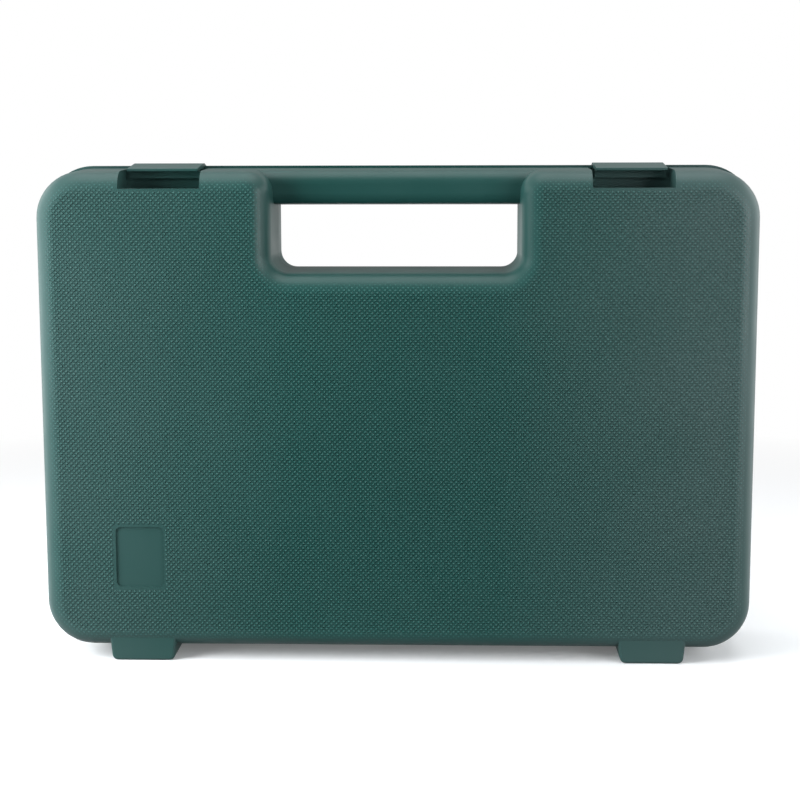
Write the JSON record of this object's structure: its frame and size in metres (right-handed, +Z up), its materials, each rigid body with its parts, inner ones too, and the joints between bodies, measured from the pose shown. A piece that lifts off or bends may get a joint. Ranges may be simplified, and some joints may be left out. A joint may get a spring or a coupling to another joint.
{
  "type": "socket wrench set in case",
  "caption": "Hinged dark green moulded tool case with carrying handle, snap latches and hinge feet, holding a ratchet, sockets and extension bars on rails.",
  "frame": {"origin": "on the floor below the middle of the closed case, in the parting plane of its two halves", "axes": "+X across the case, +Y from the base half towards the lid, +Z up; the case stands on its hinge feet"},
  "size_m": [0.2924, 0.056, 0.2042],
  "materials": {
    "case_green": "dark green moulded polyethylene, embossed dot grain on the outer faces",
    "rail_black": "moulded rail, fine grain",
    "pin_steel": "plain steel wire",
    "tool_chrome": "satin chrome plating",
    "bright_steel": "ground bearing steel",
    "grip_black": "moulded grip, fine ribs",
    "insert_rubber": "soft rubber"
  },
  "bodies": {
    "base": {"base_shell": "case_green", "socket_rail": "rail_black", "large_socket_rails": "rail_black", "bar_rails": "rail_black", "ratchet_rails": "rail_black", "socket_10": "tool_chrome", "socket_12": "tool_chrome", "socket_13": "tool_chrome", "socket_14": "tool_chrome", "socket_17": "tool_chrome", "socket_19": "tool_chrome", "socket_22": "tool_chrome", "socket_24": "tool_chrome", "socket_27": "tool_chrome", "socket_30": "tool_chrome", "socket_32": "tool_chrome", "extension_long": "tool_chrome", "extension_short": "tool_chrome", "extension_balls": "bright_steel", "plug_socket": "tool_chrome", "plug_insert": "insert_rubber", "ratchet_body": "tool_chrome", "ratchet_grip": "grip_black", "ratchet_cover": "tool_chrome", "ratchet_screws": "bright_steel", "pawl_pin": "pin_steel"},
    "lid": {"lid_shell": "case_green", "hinge_pin_left": "pin_steel", "hinge_pin_right": "pin_steel", "latch_pin_left": "pin_steel", "latch_pin_right": "pin_steel"},
    "latch_left": {"latch_left": "case_green"},
    "latch_right": {"latch_right": "case_green"},
    "drive": {"ratchet_gear": "tool_chrome", "ratchet_ball": "bright_steel"},
    "button": {"release_button": "tool_chrome"},
    "selector": {"selector_lever": "tool_chrome", "selector_plunger": "pin_steel", "selector_spring": "pin_steel"},
    "pawl": {"ratchet_pawl": "bright_steel"}
  },
  "joints": [
    {"name": "lid_hinge", "type": "hinge", "parent": "base", "child": "lid", "pos_m": [0, 0, 0.0022], "axis": [-1, 0, 0], "range_deg": [0, 180]},
    {"name": "latch_left_hinge", "type": "hinge", "parent": "lid", "child": "latch_left", "pos_m": [-0.0945, 0.014, 0.1988], "axis": [-1, 0, 0], "range_deg": [0, 95]},
    {"name": "latch_right_hinge", "type": "hinge", "parent": "lid", "child": "latch_right", "pos_m": [0.0945, 0.014, 0.1988], "axis": [-1, 0, 0], "range_deg": [0, 95]},
    {"name": "drive_spin", "type": "hinge", "parent": "base", "child": "drive", "pos_m": [-0.113, 0, 0.07996], "axis": [0, 1, 0], "continuous": true},
    {"name": "release_press", "type": "slide", "parent": "drive", "child": "button", "axis": [0, -1, 0], "range_m": [0, 0.002], "stiffness_N_per_m": 400},
    {"name": "selector_turn", "type": "hinge", "parent": "base", "child": "selector", "pos_m": [-0.0864, 0, 0.07996], "axis": [0, 1, 0], "range_deg": [-20, 20]},
    {"name": "pawl_rock", "type": "hinge", "parent": "base", "child": "pawl", "pos_m": [-0.0947, 0, 0.07996], "axis": [0, 1, 0], "range_deg": [-8, 8]}
  ],
  "couplings": [
    {"joint": "pawl_rock", "follows": "selector_turn", "ratio": -0.25}
  ]
}
